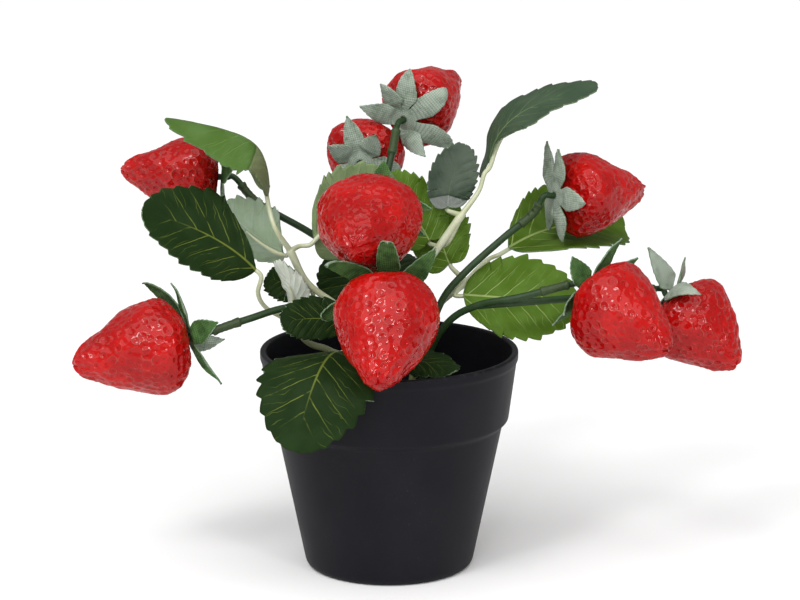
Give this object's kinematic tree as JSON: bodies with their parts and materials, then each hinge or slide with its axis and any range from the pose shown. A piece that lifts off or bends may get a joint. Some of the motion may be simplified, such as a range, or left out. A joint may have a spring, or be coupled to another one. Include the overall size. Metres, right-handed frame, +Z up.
{
  "type": "potted strawberry plant",
  "caption": "Artificial strawberry plant in a tapered round pot: red berries with leafy calyxes and toothed leaflets on bent stems set in a solid filler.",
  "frame": {"origin": "middle of the pot's flat foot, on the surface that the pot stands on", "axes": "+Z up along the pot's axis, -Y towards the front, where the lowest berry hangs over the rim, +X to the right as seen from the front"},
  "size_m": [0.2303, 0.1402, 0.1701],
  "materials": {
    "pot": "satin moulded charcoal",
    "filler": "rough cast",
    "berry": "glossy, dimpled",
    "calyx": "printed woven cloth, stiffened",
    "leaf": "printed woven cloth, stiffened and embossed with veins",
    "stem": "satin",
    "petiole": "translucent, satin"
  },
  "bodies": {
    "root": {"berry_centre": "berry", "berry_far_left": "berry", "berry_far_right": "berry", "berry_front": "berry", "berry_right": "berry", "berry_top": "berry", "berry_top_rear": "berry", "berry_upper_left": "berry", "berry_upper_right": "berry", "calyx_centre": "calyx", "calyx_far_left": "calyx", "calyx_far_right": "calyx", "calyx_front": "calyx", "calyx_right": "calyx", "calyx_top": "calyx", "calyx_top_rear": "calyx", "calyx_upper_left": "calyx", "calyx_upper_right": "calyx", "filler": "filler", "leaflet_centre_pale": "leaf", "leaflet_curled": "leaf", "leaflet_front_inner": "leaf", "leaflet_inner_dark": "leaf", "leaflet_inner_low": "leaf", "leaflet_inner_shade": "leaf", "leaflet_left_arched": "leaf", "leaflet_left_dark": "leaf", "leaflet_left_pale": "leaf", "leaflet_over_rim": "leaf", "leaflet_rear": "leaf", "leaflet_rear_bright": "leaf", "leaflet_right_arched": "leaf", "leaflet_right_bright": "leaf", "leaflet_right_folded": "leaf", "leaflet_right_front": "leaf", "leaflet_right_rear": "leaf", "petiole_front": "petiole", "petiole_left_high": "petiole", "petiole_left_low": "petiole", "petiole_rear": "petiole", "petiole_right_high": "petiole", "petiole_right_low": "petiole", "pot": "pot", "stem_far_left": "stem", "stem_front_pair": "stem", "stem_right_pair": "stem", "stem_top_pair": "stem", "stem_upper_left": "stem", "stem_upper_right": "stem"}
  },
  "joints": []
}
